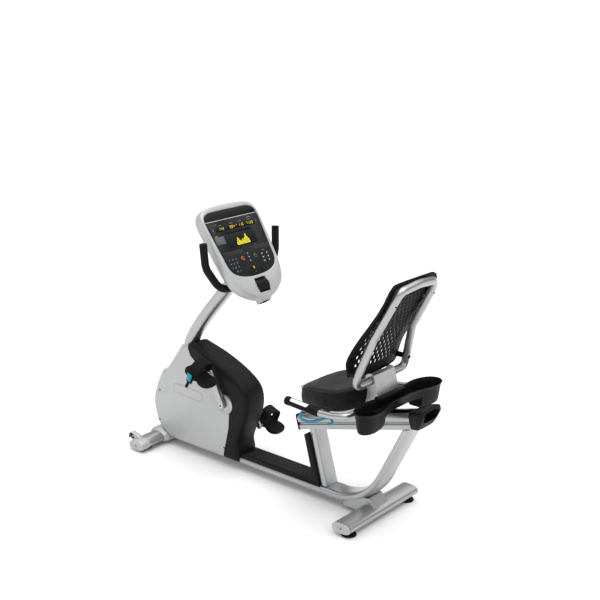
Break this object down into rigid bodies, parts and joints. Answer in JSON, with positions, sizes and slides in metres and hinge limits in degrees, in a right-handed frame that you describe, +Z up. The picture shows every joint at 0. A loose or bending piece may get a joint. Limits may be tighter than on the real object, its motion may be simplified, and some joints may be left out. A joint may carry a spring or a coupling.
{
  "type": "recumbent exercise bike",
  "caption": "Recumbent exercise bike with a sliding bucket seat on an inclined rail, strapped pedals, a tilted console on a mast, side grips and a rear bottle tray.",
  "frame": {"origin": "on the floor, under the middle of the whole machine", "axes": "+X to the rear, from the console to the seat; +Y to the rider's right; +Z up"},
  "size_m": [1.7796, 0.616, 1.3628],
  "materials": {
    "silver_paint": "satin silver powder coat",
    "rail_aluminium": "satin anodised extrusion",
    "grey_plastic": "fine satin, light grey",
    "black_plastic": "fine satin, charcoal black",
    "console_overlay": "smooth overlay over the display",
    "rubber": "matt black",
    "seat_vinyl": "matt black padded vinyl",
    "bright_steel": "turned steel",
    "cast_iron": "dark, machined rim",
    "blue_plastic": "cyan blue control colour",
    "green_key": "green",
    "orange_key": "orange"
  },
  "bodies": {
    "frame": {"main_beam": "silver_paint", "front_upright": "silver_paint", "seat_rail": "rail_aluminium", "rail_rear_cap": "black_plastic", "rail_front_cap": "black_plastic", "tread_cover": "black_plastic", "rear_stabilizer": "silver_paint", "rear_stabilizer_cap_left": "grey_plastic", "rear_stabilizer_cap_right": "grey_plastic", "front_stabilizer": "silver_paint", "front_stabilizer_cap_left": "grey_plastic", "front_stabilizer_cap_right": "grey_plastic", "front_pad_left": "rubber", "front_pad_right": "rubber", "drive_frame": "cast_iron", "mast": "silver_paint", "shroud_left": "grey_plastic", "shroud_right": "grey_plastic", "rear_cover_upper": "black_plastic", "rear_cover_lower": "black_plastic", "console_back": "grey_plastic", "console_bezel": "grey_plastic", "console_panel": "console_overlay", "console_handle": "rubber", "accessory_port": "black_plastic", "drive_belt": "rubber", "bottom_bracket": "bright_steel"},
    "crank": {"crank_axle": "bright_steel", "crank_arm_left": "silver_paint", "crank_arm_right": "silver_paint", "crank_disc_left": "silver_paint", "crank_disc_right": "silver_paint", "drive_pulley": "cast_iron"},
    "flywheel": {"flywheel": "cast_iron"},
    "seat": {"seat_carriage": "silver_paint", "seat_pan": "black_plastic", "seat_cushion": "seat_vinyl", "back_frame": "silver_paint", "back_shell": "black_plastic", "side_handlebar": "silver_paint", "side_grip_left": "rubber", "side_grip_right": "rubber", "storage_tray": "black_plastic"},
    "front_rollers": {"front_rollers": "black_plastic"},
    "rear_rollers": {"rear_rollers": "black_plastic"},
    "adjust_handle": {"adjust_handle": "blue_plastic"},
    "lock_shoe": {"lock_shoe": "cast_iron"},
    "resistance_lever": {"resistance_lever": "black_plastic"},
    "start_key": {"start_key": "green_key"},
    "stop_key": {"stop_key": "orange_key"},
    "transport_wheel_left": {"transport_wheel_left": "rubber"},
    "levelling_foot_left": {"levelling_foot_left": "rubber"},
    "pedal_left": {"pedal_left": "rubber", "pedal_strap_left": "rubber"},
    "strap_buckle_left": {"strap_buckle_left": "blue_plastic"},
    "transport_wheel_right": {"transport_wheel_right": "rubber"},
    "levelling_foot_right": {"levelling_foot_right": "rubber"},
    "pedal_right": {"pedal_right": "rubber", "pedal_strap_right": "rubber"},
    "strap_buckle_right": {"strap_buckle_right": "blue_plastic"}
  },
  "joints": [
    {"name": "transport_wheel_spin_left", "type": "hinge", "parent": "frame", "child": "transport_wheel_left", "pos_m": [-0.8713, -0.20175, 0.0605], "axis": [0, 1, 0], "continuous": true},
    {"name": "levelling_foot_screw_left", "type": "slide", "parent": "frame", "child": "levelling_foot_left", "axis": [0, 0, -1], "range_m": [0, 0.012]},
    {"name": "transport_wheel_spin_right", "type": "hinge", "parent": "frame", "child": "transport_wheel_right", "pos_m": [-0.8713, 0.20175, 0.0605], "axis": [0, 1, 0], "continuous": true},
    {"name": "levelling_foot_screw_right", "type": "slide", "parent": "frame", "child": "levelling_foot_right", "axis": [0, 0, -1], "range_m": [0, 0.012]},
    {"name": "flywheel_spin", "type": "hinge", "parent": "frame", "child": "flywheel", "pos_m": [-0.5968, 0, 0.253], "axis": [0, 1, 0], "continuous": true},
    {"name": "crank_spin", "type": "hinge", "parent": "frame", "child": "crank", "pos_m": [-0.3038, 0, 0.351], "axis": [0, 1, 0], "continuous": true},
    {"name": "pedal_spin_left", "type": "hinge", "parent": "crank", "child": "pedal_left", "pos_m": [-0.37693, -0.172, 0.50999], "axis": [0, 1, 0], "continuous": true},
    {"name": "strap_release_left", "type": "hinge", "parent": "pedal_left", "child": "strap_buckle_left", "pos_m": [-0.39084, -0.2385, 0.50476], "axis": [0.9291, 0, -0.3697], "range_deg": [0, 60]},
    {"name": "pedal_spin_right", "type": "hinge", "parent": "crank", "child": "pedal_right", "pos_m": [-0.23067, 0.172, 0.19201], "axis": [0, 1, 0], "continuous": true},
    {"name": "strap_release_right", "type": "hinge", "parent": "pedal_right", "child": "strap_buckle_right", "pos_m": [-0.24459, 0.2385, 0.18679], "axis": [-0.9291, 0, 0.3697], "range_deg": [0, 60]},
    {"name": "seat_slide", "type": "slide", "parent": "frame", "child": "seat", "axis": [0.965, 0, 0.2622], "range_m": [-0.16, 0.12]},
    {"name": "front_rollers_roll", "type": "hinge", "parent": "seat", "child": "front_rollers", "pos_m": [0.44857, 0, 0.46767], "axis": [0, 1, 0], "range_deg": [-700, 530]},
    {"name": "rear_rollers_roll", "type": "hinge", "parent": "seat", "child": "rear_rollers", "pos_m": [0.64158, 0, 0.52011], "axis": [0, 1, 0], "range_deg": [-700, 530]},
    {"name": "adjust_handle_lift", "type": "hinge", "parent": "seat", "child": "adjust_handle", "pos_m": [0.3772, 0, 0.463], "axis": [0, 1, 0], "range_deg": [0, 12], "stiffness_Nm_per_rad": 1, "springref_deg": -14.32},
    {"name": "lock_shoe_lift", "type": "slide", "parent": "seat", "child": "lock_shoe", "axis": [-0.2622, 0, 0.965], "range_m": [0, 0.0045]},
    {"name": "resistance_lever_tilt", "type": "hinge", "parent": "frame", "child": "resistance_lever", "pos_m": [-0.12665, 0, 0.98685], "axis": [0, 1, 0], "range_deg": [-15, 15], "stiffness_Nm_per_rad": 1},
    {"name": "stop_key_press", "type": "slide", "parent": "frame", "child": "stop_key", "axis": [-0.83, 0, -0.5577], "range_m": [0, 0.002], "stiffness_N_per_m": 900, "springref_m": -0.0005},
    {"name": "start_key_press", "type": "slide", "parent": "frame", "child": "start_key", "axis": [-0.83, 0, -0.5577], "range_m": [0, 0.002], "stiffness_N_per_m": 900, "springref_m": -0.0005}
  ],
  "couplings": [
    {"joint": "crank_spin", "follows": "flywheel_spin", "ratio": 0.16879},
    {"joint": "front_rollers_roll", "follows": "seat_slide", "rad_per_m": 74.074},
    {"joint": "rear_rollers_roll", "follows": "seat_slide", "rad_per_m": 74.074},
    {"joint": "lock_shoe_lift", "follows": "adjust_handle_lift", "m_per_rad": 0.0191}
  ]
}
